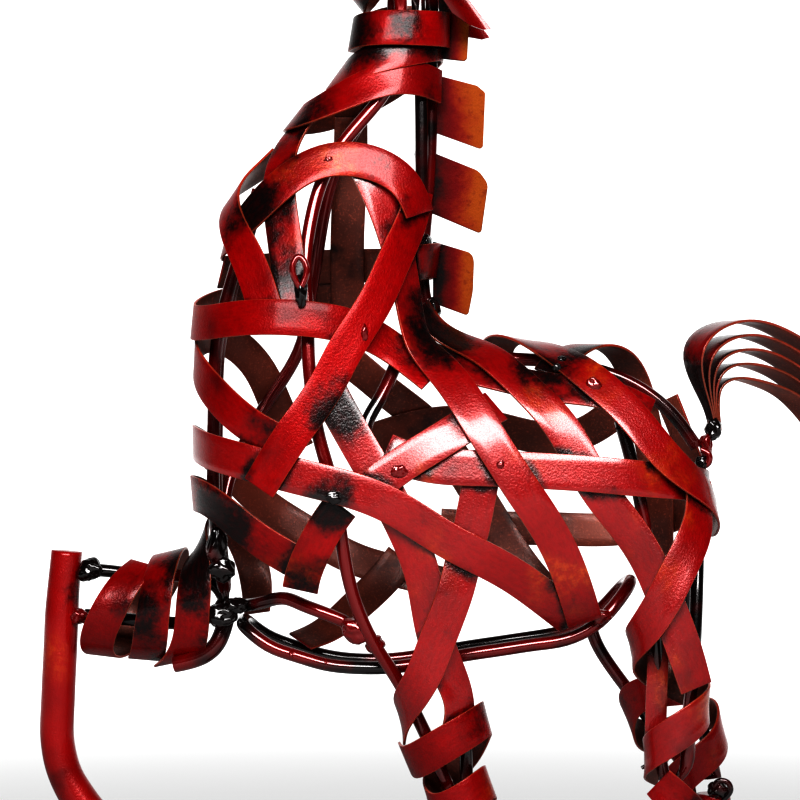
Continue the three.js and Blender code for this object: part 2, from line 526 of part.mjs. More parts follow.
// ---- mane plates, tail and ears ----
const MANE = [
  [[5.6, 284], [5.6, 302.5], [9.7, 301], [10.8, 299], [10, 283.2]],
  [[3.1, 264.5], [4.8, 279.5], [12.7, 276.6], [14.9, 274.7], [14.3, 260.1], [13.5, 259.6]],
  [[3, 242.5], [3, 259], [13.2, 253.6], [15.7, 250.1], [13.8, 236.6]],
  [[4, 218], [4, 234.6], [11.1, 231.5], [11.9, 229.6], [11.6, 221.2], [10.3, 214.5]],
];
const PLATE_THICKNESS = 0.9;
MANE.forEach((outline, i) => {
  const shape = new THREE.Shape(outline.map(([x, z]) => new THREE.Vector2(x, z)));
  const geometry = new THREE.ExtrudeGeometry(shape, { depth: PLATE_THICKNESS, bevelEnabled: false, steps: 1 });
  geometry.translate(0, 0, -PLATE_THICKNESS / 2);
  geometry.rotateX(Math.PI / 2);
  add(`mane_plate_${i + 1}`, geometry, 0x8a3312, 0.4, 0.6);
});

function flatSweep(points, side, width, thickness, steps, closed = false) {
  const curve = curveThrough(points, closed);
  const rings = [];
  for (let i = 0; i <= steps; i += 1) {
    const u = i / steps;
    const at = curve.getPointAt(u);
    const across = side.clone();
    const up = across.clone().cross(curve.getTangentAt(u)).normalize();
    const half = width(u) / 2;
    rings.push([[-1, 0], [1, 0], [1, 1], [-1, 1]].map(([s, t]) => (
      at.clone().addScaledVector(across, s * half).addScaledVector(up, (t - 0.5) * thickness)
    )));
  }
  return sweep(rings, closed);
}

const TAIL_YAW = THREE.MathUtils.degToRad(35);
const TAIL_ROOT = [75.5, 184];
const TAIL_STRAPS = 5;
const tailSide = new THREE.Vector3(-Math.sin(TAIL_YAW), Math.cos(TAIL_YAW), 0);
for (let k = 0; k < TAIL_STRAPS; k += 1) {
  const line = [
    [-1 + 1.4 * k, 183.5],
    [-5.5 + 2.1 * k, 190 - 0.4 * k],
    [-9.5 + 2.8 * k, 197.5 - 1.2 * k],
    [-6.8 + 2.9 * k, 205.3 - 2.6 * k],
    [1.5 + 2 * k, 211.3 - 3.5 * k],
    [12 + 0.6 * k, 213.4 - 3.9 * k],
    [26, 210.4 - 4 * k],
    [41 - k, 202.5 - 3.9 * k],
    [53 - 2 * k, 190.5 - 3.4 * k],
    [61 - 3.2 * k, 174.5 - 2.4 * k],
    [65 - 4.2 * k, 154 + 1.5 * k],
  ];
  const points = line.map(([s, z]) => (
    new THREE.Vector3(TAIL_ROOT[0] + s * Math.cos(TAIL_YAW), s * Math.sin(TAIL_YAW), z)
  ));
  add(`tail_strap_${k + 1}`, flatSweep(points, tailSide, () => STRAP_WIDTH, STRAP_THICKNESS, 18), DARK);
}

const EAR = [[16.2, 290.8], [15.2, 292.3], [12.8, 295.2], [10.4, 298.4], [7.5, 303.2], [4.6, 308.6], [2, 310.4],
  [-0.3, 309.5], [0.5, 304.3], [2.9, 298.4], [5.9, 293.9], [10.1, 291.5], [14.1, 290.4]];
const EAR_OFFSET = 7.5;
for (const [name, side] of [['near_ear', -1], ['far_ear', 1]]) {
  const shape = new THREE.Shape(EAR.map(([x, z]) => new THREE.Vector2(x, z)));
  const geometry = new THREE.ExtrudeGeometry(shape, { depth: PLATE_THICKNESS, bevelEnabled: false, steps: 1 });
  geometry.translate(0, 0, -PLATE_THICKNESS / 2);
  geometry.rotateX(Math.PI / 2);
  geometry.translate(0, side * EAR_OFFSET, 0);
  add(name, geometry, DARK);
}

// ---- base plate ----
const CORNER = 10;
const plate = new THREE.Shape();
plate.moveTo(BASE_MIN_X + CORNER, -BASE_HALF_WIDTH);
plate.lineTo(BASE_MAX_X - CORNER, -BASE_HALF_WIDTH);
plate.absarc(BASE_MAX_X - CORNER, -BASE_HALF_WIDTH + CORNER, CORNER, -Math.PI / 2, 0);
plate.lineTo(BASE_MAX_X, BASE_HALF_WIDTH - CORNER);
plate.absarc(BASE_MAX_X - CORNER, BASE_HALF_WIDTH - CORNER, CORNER, 0, Math.PI / 2);
plate.lineTo(BASE_MIN_X + CORNER, BASE_HALF_WIDTH);
plate.absarc(BASE_MIN_X + CORNER, BASE_HALF_WIDTH - CORNER, CORNER, Math.PI / 2, Math.PI);
plate.lineTo(BASE_MIN_X, -BASE_HALF_WIDTH + CORNER);
plate.absarc(BASE_MIN_X + CORNER, -BASE_HALF_WIDTH + CORNER, CORNER, Math.PI, 1.5 * Math.PI);
add('base_plate', new THREE.ExtrudeGeometry(plate, { depth: BASE_THICKNESS, bevelEnabled: false, curveSegments: 5 }),
  BLACK, 0.5, 0.6);

// origin: middle of the overall box, at its underside
const bounds = new THREE.Box3().setFromObject(group);
const middle = bounds.getCenter(new THREE.Vector3());
group.position.set(-middle.x, -middle.y, -bounds.min.z);

export default group;
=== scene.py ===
"""Horse sculpture of flat steel strip woven over welded rods: finished pieces around the fixed frame."""
import math

import bmesh
import bpy
from bpy.props import FloatProperty, FloatVectorProperty, IntProperty, PointerProperty
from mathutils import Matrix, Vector, noise
from mathutils.bvhtree import BVHTree


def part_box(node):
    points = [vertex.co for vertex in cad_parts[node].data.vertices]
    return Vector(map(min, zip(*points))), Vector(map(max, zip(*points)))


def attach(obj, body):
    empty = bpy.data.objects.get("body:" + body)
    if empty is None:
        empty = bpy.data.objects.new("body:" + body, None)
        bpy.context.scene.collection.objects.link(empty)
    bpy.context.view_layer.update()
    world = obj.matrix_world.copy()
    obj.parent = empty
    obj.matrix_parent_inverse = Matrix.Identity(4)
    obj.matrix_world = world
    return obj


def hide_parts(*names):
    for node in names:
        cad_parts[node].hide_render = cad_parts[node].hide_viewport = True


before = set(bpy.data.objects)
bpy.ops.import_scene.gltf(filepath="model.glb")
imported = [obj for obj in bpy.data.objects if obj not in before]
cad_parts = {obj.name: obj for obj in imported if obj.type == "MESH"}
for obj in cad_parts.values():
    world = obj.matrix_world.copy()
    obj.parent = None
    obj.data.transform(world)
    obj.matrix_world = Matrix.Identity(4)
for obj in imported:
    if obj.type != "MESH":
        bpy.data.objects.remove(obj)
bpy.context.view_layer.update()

bl_info = {
    "name": "Woven strip horse",
    "version": (1, 0, 0),
    "blender": (4, 5, 0),
    "location": "View3D > Sidebar > Horse",
    "description": "Finishes the strips, rods, tubes and welds of a horse sculpture",
    "category": "Object",
}

MM = 0.001
STRIP_WIDTH = 9.4 * MM
STRIP_THICKNESS = 0.7 * MM

# The part's own origin, found from its base plate, whose middle is 37 mm behind it.
BASE_LOW, BASE_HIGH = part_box("base_plate")
BASE_MIDDLE_X = 37 * MM
ORIGIN = Vector(((BASE_LOW.x + BASE_HIGH.x) / 2 - BASE_MIDDLE_X, (BASE_LOW.y + BASE_HIGH.y) / 2, 0))

NODES = sorted(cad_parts)
RODS = [n for n in NODES if n.endswith("_rod")]
LEGS = [n for n in NODES if n.endswith("lower_leg")]
MANE = [n for n in NODES if n.startswith("mane")]
TAIL = [n for n in NODES if n.startswith("tail")]
EARS = [n for n in NODES if n.endswith("_ear")]
STRIPS = [n for n in NODES if n not in RODS + LEGS + MANE + TAIL + EARS + ["base_plate"]]
DARK_STRIPS = [n for n in STRIPS if n.startswith("far_")] + ["croup_strap", "throat_strap", "brow_band"]
# Strips with the darker red lacquer: the darkening is partly painted shade, on leg wraps where less light
# falls and on neck strips that face the light.
DEEP_AND_SHADED_STRIPS = [n for n in STRIPS if n.endswith("_wrap") and n not in DARK_STRIPS] + [
    "neck_arch_strap", "neck_upright", "breast_low_strap", "elbow_strap", "muzzle_band"]
CALM_STRIPS = ["neck_front_strap", "collar_band", "breast_strap", "chest_band", "shoulder_strap"]

# Inside points of the body forms, in millimetres from the part's origin: a strip's outer face looks away
# from the nearest one.
CORES = [
    (-30, 0, 171), (-10, 0, 168), (10, 0, 166), (30, 0, 168), (48, 0, 168), (-31, 0, 205), (-28, 0, 235),
    (-23, 0, 258), (-15, 0, 280), (-11, 0, 300), (-10, 0, 315), (-38, 0, 312), (2, -18, 128),
    (4, -18, 104), (9, -17, 82), (64, -17, 138), (65, -17, 110), (64, -17, 80), (61, 17, 126),
    (68, 18, 105), (78, 18, 80), (-58, 7, 138), (-75, 11, 135), (-90, 12, 135),
]


def at(x, y, z):
    """A point given in millimetres from the part's own origin."""
    return Vector((x, y, z)) * MM + ORIGIN


# ---- settings a user would change ----
class HorseSizes(bpy.types.PropertyGroup):
    strip_width: FloatProperty(
        name="Strip width", description="Width of the flat strip", default=STRIP_WIDTH, subtype="DISTANCE")
    strip_thickness: FloatProperty(
        name="Strip thickness", description="Thickness of the flat strip", default=STRIP_THICKNESS,
        subtype="DISTANCE")
    edge_round: FloatProperty(
        name="Edge round", description="Rounding of the strip's cut edges", default=0.16 * MM,
        subtype="DISTANCE")
    smoothness: IntProperty(
        name="Smoothness", description="Subdivision levels of the bent pieces", default=2, min=0, max=3)
    weld_size: FloatProperty(
        name="Weld size", description="Factor on the size of every weld bead", default=1.0, subtype="FACTOR")


class HorseColours(bpy.types.PropertyGroup):
    red: FloatVectorProperty(
        name="Red", description="Clear red lacquer", default=(0.30, 0.0012, 0.0022), subtype="COLOR")
    # Deep red also darkens the deep strips, partly as painted shade.
    deep_red: FloatVectorProperty(
        name="Deep red", description="Thicker, darker lacquer", default=(0.085, 0.0005, 0.0010),
        subtype="COLOR")
    orange: FloatVectorProperty(
        name="Orange", description="Thin lacquer over bright steel", default=(0.55, 0.13, 0.009),
        subtype="COLOR")
    # Soot is also the colour of the painted shade beside crossing pieces, and the black of the rods.
    soot: FloatVectorProperty(
        name="Soot", description="Black shading sprayed on the joints", default=(0.008, 0.004, 0.004),
        subtype="COLOR")
    bronze: FloatVectorProperty(
        name="Bronze", description="Brown primer on inner faces", default=(0.26, 0.062, 0.034),
        subtype="COLOR")


def sizes():
    return bpy.context.scene.horse_sizes


def colours():
    return bpy.context.scene.horse_colours


# ---- node helpers ----
def add_node(tree, kind, inputs=None, **settings):
    """A new node with its settings made and its inputs set to values or linked to sockets."""
    made = tree.nodes.new(kind)
    for name, value in settings.items():
        setattr(made, name, value)
    for name, value in (inputs or {}).items():
        if isinstance(value, bpy.types.NodeSocket):
            tree.links.new(value, made.inputs[name])
        else:
            made.inputs[name].default_value = value
    return made


def math_node(tree, operation, a, b=0.0, clamp=False):
    return add_node(tree, "ShaderNodeMath", {0: a, 1: b}, operation=operation, use_clamp=clamp).outputs[0]


def mix_colour(tree, factor, a, b):
    """b over a by factor; colours are sockets or four numbers."""
    made = add_node(tree, "ShaderNodeMix", {0: factor, 6: a, 7: b}, data_type="RGBA", clamp_factor=True)
    return made.outputs[2]


def ramp(tree, value, low, high):
    """A smooth step from 0 at low to 1 at high."""
    made = add_node(tree, "ShaderNodeMapRange", {"Value": value, "From Min": low, "From Max": high},
                    interpolation_type="SMOOTHSTEP")
    return made.outputs["Result"]


def noise_node(tree, vector, scale, detail=3.0, roughness=0.55, distortion=0.0):
    made = add_node(tree, "ShaderNodeTexNoise", {
        "Vector": vector, "Scale": scale, "Detail": detail, "Roughness": roughness, "Distortion": distortion})
    return made.outputs["Fac"]


def full(colour):
    """A colour with its fourth number."""
    return (*colour, 1.0)


def new_group(name, inputs, outputs):
    """An empty shader node group with float inputs [(name, default)] and outputs [(name, socket type)]."""
    group = bpy.data.node_groups.new(name, "ShaderNodeTree")
    for label, default in inputs:
        socket = group.interface.new_socket(label, in_out="INPUT", socket_type="NodeSocketFloat")
        socket.default_value = default
    for label, kind in outputs:
        group.interface.new_socket(label, in_out="OUTPUT", socket_type=kind)
    return group, group.nodes.new("NodeGroupInput"), group.nodes.new("NodeGroupOutput")


def use_group(tree, group, **values):
    made = tree.nodes.new("ShaderNodeGroup")
    made.node_tree = group
    for name, value in values.items():
        socket = made.inputs[name.replace("_", " ")]
        if isinstance(value, bpy.types.NodeSocket):
            tree.links.new(value, socket)
        else:
            socket.default_value = value
    return made


# ---- effects that several finishes share ----
STREAK_STRETCH = (45.0, 1.0, 1.0)
# Orange on the strip edges: partly lacquer rubbed thin, partly painted highlight.
WORN_AND_HIGHLIT_EDGE = (0.50, 0.10, 0.04, 1.0)


def soot_and_shade_group():
    """Black sprayed on from the joints, with painted shade beside crossing pieces: how black a place is, from
    its soot attribute and clouds.
    """
    group, given, out = new_group("sprayed soot", [("Amount", 1.0), ("Cloud Size", 9.0), ("Base", 0.0)],
                                  [("Mask", "NodeSocketFloat")])
    place = add_node(group, "ShaderNodeTexCoord").outputs["Object"]
    soot = add_node(group, "ShaderNodeAttribute", attribute_name="soot").outputs["Fac"]
    scale = math_node(group, "DIVIDE", 1 / MM, given.outputs["Cloud Size"])
    clouds = noise_node(group, place, scale, detail=4.0, roughness=0.6)
    fine = noise_node(group, place, 900.0, detail=2.0)
    # The soot attribute holds sprayed black at the joints and painted shade beside crossing pieces.
    sprayed = math_node(group, "MULTIPLY", soot, given.outputs["Amount"])
    sprayed = math_node(group, "ADD", sprayed, given.outputs["Base"])
    cloudy = math_node(group, "MULTIPLY", math_node(group, "SUBTRACT", clouds, 0.5), 1.5)
    grainy = math_node(group, "MULTIPLY", math_node(group, "SUBTRACT", fine, 0.5), 0.35)
    total = math_node(group, "ADD", math_node(group, "ADD", sprayed, cloudy), grainy)
    group.links.new(ramp(group, total, 0.28, 0.85), out.inputs["Mask"])
    return group


def orange_peel_group():
    """Pebbly surface of thick lacquer: a height for a bump."""
    group, given, out = new_group("orange peel", [("Pebble Size", 0.8)], [("Height", "NodeSocketFloat")])
    place = add_node(group, "ShaderNodeTexCoord").outputs["Object"]
    scale = math_node(group, "DIVIDE", 1 / MM, given.outputs["Pebble Size"])
    pebbles = noise_node(group, place, scale, detail=2.0, roughness=0.5)
    broad = noise_node(group, place, 160.0, detail=1.0)
    height = math_node(group, "ADD", pebbles, math_node(group, "MULTIPLY", broad, 0.5))
    group.links.new(height, out.inputs["Height"])
    return group


def fleck_group():
    """Places where the lacquer is thin and orange shows: soft patches with flecks in them."""
    group, given, out = new_group("thin lacquer", [("Amount", 0.5)], [("Mask", "NodeSocketFloat")])
    place = add_node(group, "ShaderNodeTexCoord").outputs["Object"]
    patches = ramp(group, noise_node(group, place, 38.0, detail=2.0), 0.54, 0.74)
    flecks = ramp(group, noise_node(group, place, 420.0, detail=3.0, roughness=0.7), 0.42, 0.66)
    mask = math_node(group, "MULTIPLY", patches, math_node(group, "ADD", 0.35, flecks))
    group.links.new(math_node(group, "MULTIPLY", mask, given.outputs["Amount"]), out.inputs["Mask"])
    return group


def edge_rub_and_highlight_group():
    """Rubbed lacquer and painted highlight along a strip's two edges, from its own across measure."""
    group, given, out = new_group("edge rub_and_highlight", [("Width", 0.6)], [("Mask", "NodeSocketFloat")])
    uv = add_node(group, "ShaderNodeUVMap", uv_map="strip").outputs["UV"]
    across = add_node(group, "ShaderNodeSeparateXYZ", {0: uv}).outputs["Y"]
    from_edge = math_node(group, "PINGPONG", across, 0.5)
    place = add_node(group, "ShaderNodeTexCoord").outputs["Object"]
    ragged = math_node(group, "MULTIPLY", noise_node(group, place, 300.0, detail=3.0), 2.0)
    reach = math_node(group, "MULTIPLY", given.outputs["Width"], ragged)
    reach = math_node(group, "DIVIDE", reach, STRIP_WIDTH / MM)
    mask = math_node(group, "SUBTRACT", 1.0, math_node(group, "DIVIDE", from_edge, reach), clamp=True)
    group.links.new(mask, out.inputs["Mask"])
    return group


def streak_group():
    """Faint streaks along a strip, left by rolling and brushing."""
    group, given, out = new_group("streaks", [("Spacing", 0.5)], [("Mask", "NodeSocketFloat")])
    uv = add_node(group, "ShaderNodeUVMap", uv_map="strip").outputs["UV"]
    scale = math_node(group, "DIVIDE", STRIP_WIDTH / MM, given.outputs["Spacing"])
    stretched = add_node(group, "ShaderNodeVectorMath", {0: uv, 1: STREAK_STRETCH}, operation="MULTIPLY")
    mask = noise_node(group, stretched.outputs[0], scale, detail=2.0)
    group.links.new(mask, out.inputs["Mask"])
    return group


GROUPS = {}


def effect(name):
    """The shared effect group of that name, built once."""
    makers = {"soot": soot_and_shade_group, "peel": orange_peel_group, "flecks": fleck_group, "edges": edge_rub_and_highlight_group,
              "streaks": streak_group}
    if name not in GROUPS:
        GROUPS[name] = makers[name]()
    return GROUPS[name]


# ---- finishes ----
def new_material(name):
    """A material with one Principled shader: the material, its tree and the shader."""
    material = bpy.data.materials.new(name)
    material.use_nodes = True
    tree = material.node_tree
    tree.nodes.clear()
    shader = add_node(tree, "ShaderNodeBsdfPrincipled")
    add_node(tree, "ShaderNodeOutputMaterial", {"Surface": shader.outputs[0]})
    return material, tree, shader


def set_shader(tree, shader, values):
    for name, value in values.items():
        if isinstance(value, bpy.types.NodeSocket):
            tree.links.new(value, shader.inputs[name])
        else:
            shader.inputs[name].default_value = value


def bump(tree, height, distance, strength=1.0):
    made = add_node(tree, "ShaderNodeBump", {"Height": height, "Distance": distance, "Strength": strength})
    return made.outputs["Normal"]


def candy_red(name, soot_and_shade_amount=1.0, soot_base=0.0, flecks=0.6, depth=0.0, coat=0.4, sheen=0.25,
              on_strip=True):
    """Glossy clear red lacquer on steel, sprayed black at the joints, with painted shade beside crossing
    pieces.
    """
    material, tree, shader = new_material(name)
    tint = colours()
    place = add_node(tree, "ShaderNodeTexCoord").outputs["Object"]
    clouds = noise_node(tree, place, 48.0, detail=3.0)
    clear = ramp(tree, clouds, 0.24 + depth, 0.60 + depth)
    middle = [(a + b) / 2 for a, b in zip(tint.deep_red, tint.red)]
    base = mix_colour(tree, clear, full(middle), full(tint.red))
    base = mix_colour(tree, ramp(tree, clouds, 0.40 - depth, 0.25 - depth), base, full(tint.deep_red))
    thin = use_group(tree, effect("flecks"), Amount=flecks).outputs["Mask"]
    base = mix_colour(tree, thin, base, full(tint.orange))
    # Black from the soot mask: sprayed at the joints, and painted shade beside crossing pieces.
    soot = use_group(tree, effect("soot"), Amount=soot_and_shade_amount, Base=soot_base).outputs["Mask"]
    base = mix_colour(tree, soot, base, full(tint.soot))
    height = use_group(tree, effect("peel"), Pebble_Size=0.55).outputs["Height"]
    if on_strip:
        streaks = use_group(tree, effect("streaks"), Spacing=0.9).outputs["Mask"]
        base = mix_colour(tree, math_node(tree, "MULTIPLY", ramp(tree, streaks, 0.35, 0.7), 0.22), base,
                          full(tint.deep_red))
        # Rubbed lacquer and painted highlight along the strip's edges.
        rubbed_and_highlit = use_group(tree, effect("edges"), Width=0.22).outputs["Mask"]
        base = mix_colour(tree, math_node(tree, "MULTIPLY", rubbed_and_highlit, 0.4), base, WORN_AND_HIGHLIT_EDGE)
    rough = math_node(tree, "ADD", 0.34, math_node(tree, "MULTIPLY", soot, -0.10))
    set_shader(tree, shader, {
        "Base Color": base, "Roughness": rough, "Metallic": 0.15, "Specular IOR Level": sheen,
        "Coat Weight": coat, "Coat Roughness": 0.16, "Normal": bump(tree, height, 0.00012, 1.0)})
    return material


def bronze_inner(name, speckle=0.35, dark=1.0):
    """Satin brown primer on the faces that look inwards, with fine light specks."""
    material, tree, shader = new_material(name)
    tint = colours()
    place = add_node(tree, "ShaderNodeTexCoord").outputs["Object"]
    clouds = ramp(tree, noise_node(tree, place, 45.0, detail=3.0), 0.35, 0.68)
    brown = [c * dark for c in tint.bronze]
    base = mix_colour(tree, clouds, full([c * 0.45 for c in brown]), full(brown))
    specks = ramp(tree, noise_node(tree, place, 1500.0, detail=2.0, roughness=0.7), 0.52, 0.72)
    specks = math_node(tree, "MULTIPLY", specks, speckle)
    base = mix_colour(tree, specks, base, full([c * 2.6 for c in brown]))
    # Black from the soot mask: sprayed at the joints, and painted shade beside crossing pieces.
    soot = use_group(tree, effect("soot"), Amount=0.8, Base=-0.1).outputs["Mask"]
    base = mix_colour(tree, soot, base, full(tint.soot))
    height = use_group(tree, effect("peel"), Pebble_Size=0.6).outputs["Height"]
    set_shader(tree, shader, {
        "Base Color": base, "Roughness": 0.42, "Metallic": 0.25, "Coat Weight": 0.3, "Coat Roughness": 0.22,
        "Normal": bump(tree, height, 0.00006, 0.7)})
    return material


def rod_lacquer(name, red_share=0.35):
    """Gloss black lacquer with red sprayed over parts of it."""
    material, tree, shader = new_material(name)
    tint = colours()
    place = add_node(tree, "ShaderNodeTexCoord").outputs["Object"]
    clouds = noise_node(tree, place, 42.0, detail=3.0)
    shown = ramp(tree, clouds, 0.62 - red_share * 0.4, 0.80 - red_share * 0.4)
    red = mix_colour(tree, 0.45, full(tint.deep_red), full(tint.red))
    base = mix_colour(tree, shown, full(tint.soot), red)
    height = use_group(tree, effect("peel"), Pebble_Size=1.2).outputs["Height"]
    set_shader(tree, shader, {
        "Base Color": base, "Roughness": 0.22, "Metallic": 0.3, "Coat Weight": 0.9, "Coat Roughness": 0.06,
        "Normal": bump(tree, height, 0.00005, 0.5)})
    return material


def mottled_mane(name):
    """Plates shaded from soot and deep red at the weld to mottled orange at the free edge."""
    material, tree, shader = new_material(name)
    tint = colours()
    place = add_node(tree, "ShaderNodeTexCoord").outputs["Object"]
    out = add_node(tree, "ShaderNodeAttribute", attribute_name="free_edge").outputs["Fac"]
    broad = noise_node(tree, place, 130.0, detail=4.0, roughness=0.65)
    fine = noise_node(tree, place, 620.0, detail=3.0, roughness=0.7)
    cloudy = math_node(tree, "MULTIPLY", math_node(tree, "SUBTRACT", broad, 0.5), 0.9)
    level = math_node(tree, "ADD", out, cloudy)
    thin = [c * 0.40 for c in tint.orange]
    base = mix_colour(tree, ramp(tree, level, -0.25, 0.10), full(tint.soot), full(tint.deep_red))
    base = mix_colour(tree, ramp(tree, level, 0.0, 0.55), base, full([c * 0.5 for c in tint.red]))
    base = mix_colour(tree, ramp(tree, level, 0.20, 0.85), base, full(thin))
    stain = math_node(tree, "MULTIPLY", ramp(tree, fine, 0.50, 0.75), 0.5)
    base = mix_colour(tree, stain, base, full(tint.deep_red))
    height = use_group(tree, effect("peel"), Pebble_Size=0.7).outputs["Height"]
    set_shader(tree, shader, {
        "Base Color": base, "Roughness": 0.5, "Metallic": 0.2, "Specular IOR Level": 0.1, "Coat Weight": 0.0,
        "Coat Roughness": 0.2, "Normal": bump(tree, height, 0.00007, 0.8)})
    return material


FINISHES = {}


def finish(name):
    """The finish of that name, built once."""
    makers = {
        "strip outer": lambda: candy_red("Strip red lacquer", coat=0.8, sheen=0.5),
        "calm outer": lambda: candy_red("Neck strip lacquer", flecks=0.25, coat=0.2, sheen=0.15),
        # Darker copy of the red lacquer for the deep strips, partly painted shade.
        "deep outer": lambda: candy_red("Strip deep red lacquer", soot_base=0.16, depth=0.08, flecks=0.3,
                                        coat=0.3),
        "ear": lambda: candy_red("Ear lacquer", soot_and_shade_amount=0.6, soot_base=0.3, flecks=0.1, depth=0.3,
                                 coat=0.8, on_strip=False),
        "strip inner": lambda: bronze_inner("Strip inner bronze"),
        "dark outer": lambda: candy_red("Strip dark lacquer", soot_base=0.25, depth=0.12, flecks=0.3),
        "dark inner": lambda: bronze_inner("Far strip inner bronze"),
        "tail outer": lambda: candy_red("Tail dark lacquer", soot_base=0.5, depth=0.2, flecks=0.0, coat=0.8),
        # The tail's inner faces get a brown 1.7 times lighter: painted light on the undersides, lit from
        # below and behind.
        "tail inner": lambda: bronze_inner("Tail inner bronze", dark=1.7),
        "rod": lambda: rod_lacquer("Rod lacquer", red_share=0.5),
        "red rod": lambda: rod_lacquer("Rod red lacquer", red_share=1.0),
        "leg": lambda: candy_red("Leg red lacquer", soot_and_shade_amount=0.7, flecks=0.2, coat=0.4, on_strip=False),
        "mane": lambda: mottled_mane("Mane mottled orange"),
        "weld": lambda: rod_lacquer("Weld bead lacquer", red_share=0.1),
        "red weld": lambda: rod_lacquer("Weld bead red lacquer", red_share=1.0),
        "base": lambda: rod_lacquer("Base plate lacquer", red_share=0.15),
    }
    if name not in FINISHES:
        FINISHES[name] = makers[name]()
    return FINISHES[name]


# ---- mesh helpers ----
MERGE = 0.002 * MM
MEASURE_SLACK = 0.05 * MM
EVEN_SHARES = (0.45, -0.46)
CREASE_ANGLE = math.radians(60)
ROUNDED_ANGLE = math.radians(50)
RING_ANGLE = math.radians(40)
FLAT_ANGLE = math.radians(1)


def merged_copy(node):
    """The node's own mesh as a bmesh, its loose triangles joined at their corners."""
    bm = bmesh.new()
    bm.from_mesh(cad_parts[node].data)
    bmesh.ops.remove_doubles(bm, verts=bm.verts[:], dist=MERGE)
    return bm


def is_sharp(edge):
    """Whether an edge stays sharp under subdivision."""
    return edge.is_boundary or edge.calc_face_angle(0.0) > CREASE_ANGLE


def limit_point(vert):
    """Where a vertex goes under endless subdivision."""
    sharp = [e for e in vert.link_edges if is_sharp(e)]
    if len(sharp) > 2 or len(vert.link_faces) == 1:
        return vert.co.copy()
    if len(sharp) == 2:
        return (sharp[0].other_vert(vert).co + sharp[1].other_vert(vert).co + 4 * vert.co) / 6
    total = Vector()
    for loop in vert.link_loops:
        total += 4 * loop.link_loop_next.vert.co + loop.link_loop_next.link_loop_next.vert.co
    n = len(vert.link_loops)
    return (n * n * vert.co + total) / (n * (n + 5))


def hold_shape(bm, passes=4):
    """Moves the corners out, so that the subdivided surface passes through where they were."""
    wanted = {v: v.co.copy() for v in bm.verts}
    for _ in range(passes):
        moved = {v: v.co + wanted[v] - limit_point(v) for v in bm.verts}
        for v, place in moved.items():
            v.co = place


def islands(bm):
    """The sets of faces that hang together."""
    left = set(bm.faces)
    found = []
    while left:
        group = {left.pop()}
        edge_of_group = set(group)
        while edge_of_group:
            near = {f for g in edge_of_group for e in g.edges for f in e.link_faces} & left
            left -= near
            group |= near
            edge_of_group = near
        found.append(group)
    return found


def outwardness(face):
    """How much a face looks away from the nearest inside point, weighed by its area."""
    middle = face.calc_center_median()
    core = min((at(*c) for c in CORES), key=lambda c: (c - middle).length_squared)
    return face.calc_area() * face.normal.dot((middle - core).normalized())


def strip_sheet(node):
    """The outer face of a strip as a one-wide ladder of quads."""
    bm = merged_copy(node)
    bm.normal_update()
    thickness = sizes().strip_thickness
    narrow = [f for f in bm.faces if min(abs(e.calc_length() - thickness) for e in f.edges) < MEASURE_SLACK]
    bmesh.ops.delete(bm, geom=narrow, context="FACES")
    found = islands(bm)
    outer = max(found, key=lambda faces: sum(map(outwardness, faces)))
    bmesh.ops.delete(bm, geom=[f for f in bm.faces if f not in outer], context="FACES")
    width = sizes().strip_width
    diagonals = [e for e in bm.edges if not e.is_boundary and e.calc_length() > width + MEASURE_SLACK]
    bmesh.ops.dissolve_edges(bm, edges=diagonals, use_verts=False)
    return bm


def even_out(bm, passes=2):
    """Takes the short waves out of a strip's line and keeps its long bends."""
    for _ in range(passes):
        for share in EVEN_SHARES:
            moved = {}
            for v in bm.verts:
                near = [e.other_vert(v) for e in v.link_edges if e.is_boundary]
                if len(v.link_faces) == 2:
                    moved[v] = v.co + share * ((near[0].co + near[1].co) / 2 - v.co)
            for v, place in moved.items():
                v.co = place


def rungs_of(bm):
    """The crosswise edges of a ladder of quads in order, the first one again at the end if it is a ring."""
    ends = [e for e in bm.edges if e.is_boundary and all(len(v.link_edges) == 2 for v in e.verts)]
    first = ends[0] if ends else next(e for e in bm.edges if not e.is_boundary)
    rungs = [first]
    face = first.link_faces[0]
    while True:
        across = next(e for e in face.edges if not set(e.verts) & set(rungs[-1].verts))
        rungs.append(across)
        onward = [f for f in across.link_faces if f is not face]
        if not onward or across is first:
            return rungs
        face = onward[0]


def lay_out(bm):
    """Writes the strip's own measures: u runs along it in metres, v across it from 0 to 1."""
    layer = bm.loops.layers.uv.new("strip")
    rungs = rungs_of(bm)
    side = rungs[0].verts[0]
    along = 0.0
    for near, far in zip(rungs, rungs[1:]):
        face = next(f for f in near.link_faces if f in far.link_faces)
        opposite = next(v for v in far.verts if any(e.other_vert(side) is v for e in side.link_edges))
        step = (side.co - opposite.co).length
        for loop in face.loops:
            u = along if loop.vert in near.verts else along + step
            v = 0.0 if loop.vert in (side, opposite) else 1.0
            loop[layer].uv = (u, v)
        along += step
        side = opposite


def to_object(bm, name):
    """A new object at the origin that holds the bmesh."""
    mesh = bpy.data.meshes.new(name)
    bm.to_mesh(mesh)
    bm.free()
    made = bpy.data.objects.new(name, mesh)
    bpy.context.scene.collection.objects.link(made)
    return made


def add_subdivision(piece, levels):
    """Smooths a piece's bends and keeps the corners of its open ends."""
    made = piece.modifiers.new("smooth", "SUBSURF")
    made.levels = levels
    made.render_levels = levels
    made.boundary_smooth = "PRESERVE_CORNERS"


def add_rounding(piece, width, segments):
    """Rounds a piece's sharp edges."""
    made = piece.modifiers.new("edges", "BEVEL")
    made.width = width
    made.segments = segments
    made.limit_method = "ANGLE"
    made.angle_limit = ROUNDED_ANGLE


